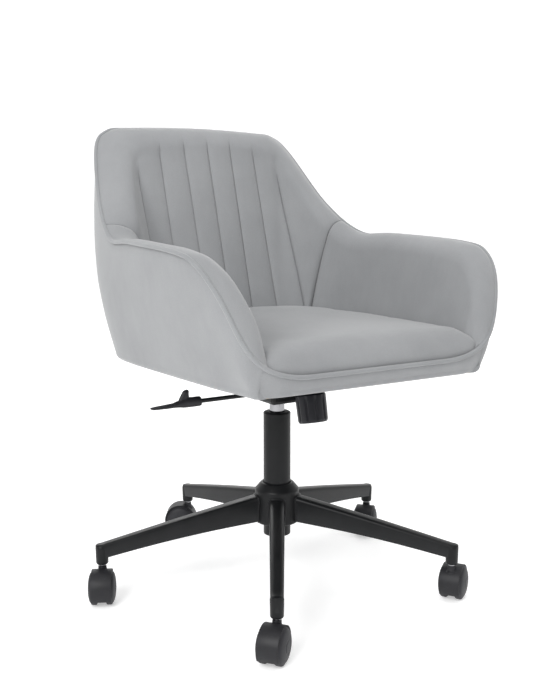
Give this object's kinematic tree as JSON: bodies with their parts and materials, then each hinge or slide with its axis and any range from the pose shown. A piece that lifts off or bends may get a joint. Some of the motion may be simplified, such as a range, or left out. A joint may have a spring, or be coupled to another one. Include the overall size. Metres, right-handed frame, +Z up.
{
  "type": "upholstered swivel desk chair",
  "caption": "Light grey fabric tub desk chair with channelled back, padded arms and piping, on a gas lift, swivel-tilt mechanism and black five-star caster base.",
  "frame": {"origin": "on the floor, under the middle of the chair's box; the swivel axis stands at x 13.4 mm, y -24.5 mm", "axes": "+Z up, the seat faces -Y, the sitter's left is +X"},
  "size_m": [0.6794, 0.681, 0.8461],
  "materials": {
    "grey_fabric": "soft light grey velvet-like upholstery",
    "piping_fabric": "self-coloured fabric welt",
    "black_lining": "black non-woven dust cover",
    "plywood": "bare plywood, hidden",
    "black_steel": "satin black powder coat",
    "chrome_steel": "polished chrome",
    "zinc_steel": "zinc-plated steel",
    "spring_steel": "oiled spring steel",
    "black_nylon": "fine-textured black nylon",
    "wheel_plastic": "black moulded wheel"
  },
  "bodies": {
    "base": {"base_hub": "black_steel", "base_arm_1": "black_steel", "base_arm_2": "black_steel", "base_arm_3": "black_steel", "base_arm_4": "black_steel", "base_arm_5": "black_steel", "column_tube": "black_steel", "guide_bushing": "black_nylon"},
    "caster_1": {"caster_stem_1": "chrome_steel", "caster_hood_1": "black_nylon", "caster_axle_1": "zinc_steel"},
    "wheel_1a": {"caster_wheel_1a": "wheel_plastic"},
    "wheel_1b": {"caster_wheel_1b": "wheel_plastic"},
    "caster_2": {"caster_stem_2": "chrome_steel", "caster_hood_2": "black_nylon", "caster_axle_2": "zinc_steel"},
    "wheel_2a": {"caster_wheel_2a": "wheel_plastic"},
    "wheel_2b": {"caster_wheel_2b": "wheel_plastic"},
    "caster_3": {"caster_stem_3": "chrome_steel", "caster_hood_3": "black_nylon", "caster_axle_3": "zinc_steel"},
    "wheel_3a": {"caster_wheel_3a": "wheel_plastic"},
    "wheel_3b": {"caster_wheel_3b": "wheel_plastic"},
    "caster_4": {"caster_stem_4": "chrome_steel", "caster_hood_4": "black_nylon", "caster_axle_4": "zinc_steel"},
    "wheel_4a": {"caster_wheel_4a": "wheel_plastic"},
    "wheel_4b": {"caster_wheel_4b": "wheel_plastic"},
    "caster_5": {"caster_stem_5": "chrome_steel", "caster_hood_5": "black_nylon", "caster_axle_5": "zinc_steel"},
    "wheel_5a": {"caster_wheel_5a": "wheel_plastic"},
    "wheel_5b": {"caster_wheel_5b": "wheel_plastic"},
    "spindle": {"piston_rod": "zinc_steel", "thrust_bearing": "zinc_steel"},
    "lift": {"gas_cylinder": "chrome_steel", "mechanism_housing": "black_steel", "tilt_axle": "zinc_steel", "tension_bolt": "zinc_steel", "tension_spring": "spring_steel"},
    "valve": {"valve_button": "zinc_steel"},
    "lever_pivot": {"lever_cradle": "black_nylon"},
    "lever": {"lever_rod": "black_steel", "lever_grip": "black_nylon"},
    "knob": {"tension_knob": "black_nylon"},
    "seat": {"seat_plate": "black_steel", "seat_board": "plywood", "bucket_shell": "plywood", "outer_cover": "grey_fabric", "back_pad": "grey_fabric", "arm_pad_left": "grey_fabric", "arm_pad_right": "grey_fabric", "seat_cushion": "grey_fabric", "front_apron": "grey_fabric", "welt_piping": "piping_fabric", "dust_cover": "black_lining", "seat_bolt_1": "zinc_steel", "seat_bolt_2": "zinc_steel", "seat_bolt_3": "zinc_steel", "seat_bolt_4": "zinc_steel"}
  },
  "joints": [
    {"name": "caster_1_swivel", "type": "hinge", "parent": "base", "child": "caster_1", "pos_m": [-0.16218, -0.29799, 0.068], "axis": [0, 0, 1], "continuous": true},
    {"name": "wheel_1a_roll", "type": "hinge", "parent": "caster_1", "child": "wheel_1a", "pos_m": [-0.17411, -0.30708, 0.03], "axis": [0.606, -0.7955, 0], "continuous": true},
    {"name": "wheel_1b_roll", "type": "hinge", "parent": "caster_1", "child": "wheel_1b", "pos_m": [-0.17411, -0.30708, 0.03], "axis": [0.606, -0.7955, 0], "continuous": true},
    {"name": "caster_2_swivel", "type": "hinge", "parent": "base", "child": "caster_2", "pos_m": [0.21925, -0.276, 0.068], "axis": [0, 0, 1], "continuous": true},
    {"name": "wheel_2a_roll", "type": "hinge", "parent": "caster_2", "child": "wheel_2a", "pos_m": [0.23189, -0.26792, 0.03], "axis": [-0.5388, 0.8425, 0], "continuous": true},
    {"name": "wheel_2b_roll", "type": "hinge", "parent": "caster_2", "child": "wheel_2b", "pos_m": [0.23189, -0.26792, 0.03], "axis": [-0.5388, 0.8425, 0], "continuous": true},
    {"name": "caster_3_swivel", "type": "hinge", "parent": "base", "child": "caster_3", "pos_m": [0.3162, 0.09356, 0.068], "axis": [0, 0, 1], "continuous": true},
    {"name": "wheel_3a_roll", "type": "hinge", "parent": "caster_3", "child": "wheel_3a", "pos_m": [0.30505, 0.08352, 0.03], "axis": [0.6691, -0.7431, 0], "continuous": true},
    {"name": "wheel_3b_roll", "type": "hinge", "parent": "caster_3", "child": "wheel_3b", "pos_m": [0.30505, 0.08352, 0.03], "axis": [0.6691, -0.7431, 0], "continuous": true},
    {"name": "caster_4_swivel", "type": "hinge", "parent": "base", "child": "caster_4", "pos_m": [-0.00531, 0.29996, 0.068], "axis": [0, 0, 1], "continuous": true},
    {"name": "wheel_4a_roll", "type": "hinge", "parent": "caster_4", "child": "wheel_4a", "pos_m": [-0.01789, 0.30813, 0.03], "axis": [-0.5446, -0.8387, 0], "continuous": true},
    {"name": "wheel_4b_roll", "type": "hinge", "parent": "caster_4", "child": "wheel_4b", "pos_m": [-0.01789, 0.30813, 0.03], "axis": [-0.5446, -0.8387, 0], "continuous": true},
    {"name": "caster_5_swivel", "type": "hinge", "parent": "base", "child": "caster_5", "pos_m": [-0.30096, 0.05797, 0.068], "axis": [0, 0, 1], "continuous": true},
    {"name": "wheel_5a_roll", "type": "hinge", "parent": "caster_5", "child": "wheel_5a", "pos_m": [-0.308, 0.04473, 0.03], "axis": [0.8829, -0.4695, 0], "continuous": true},
    {"name": "wheel_5b_roll", "type": "hinge", "parent": "caster_5", "child": "wheel_5b", "pos_m": [-0.308, 0.04473, 0.03], "axis": [0.8829, -0.4695, 0], "continuous": true},
    {"name": "seat_swivel", "type": "hinge", "parent": "base", "child": "spindle", "pos_m": [0.0134, -0.0245, 0.1], "axis": [0, 0, 1], "continuous": true},
    {"name": "seat_height", "type": "slide", "parent": "spindle", "child": "lift", "axis": [0, 0, 1], "range_m": [0, 0.1]},
    {"name": "valve_press", "type": "slide", "parent": "lift", "child": "valve", "axis": [0, 0, 1], "range_m": [-0.0032, 0]},
    {"name": "lever_lift", "type": "hinge", "parent": "lift", "child": "lever_pivot", "pos_m": [-0.0216, -0.0645, 0.368], "axis": [0, 1, 0], "range_deg": [0, 5], "stiffness_Nm_per_rad": 1, "springref_deg": -2.86},
    {"name": "tilt_lock_push", "type": "slide", "parent": "lever_pivot", "child": "lever", "axis": [1, 0, 0], "range_m": [0, 0.012]},
    {"name": "tension_turn", "type": "hinge", "parent": "lift", "child": "knob", "pos_m": [0.0134, -0.1295, 0.379], "axis": [0, 0.2079, 0.9781], "range_deg": [0, 720]},
    {"name": "seat_tilt", "type": "hinge", "parent": "lift", "child": "seat", "pos_m": [0.0134, 0.0155, 0.375], "axis": [-1, 0, 0], "range_deg": [0, 12], "stiffness_Nm_per_rad": 45, "springref_deg": -20.05}
  ],
  "couplings": [
    {"joint": "valve_press", "follows": "lever_lift", "m_per_rad": -0.035}
  ]
}
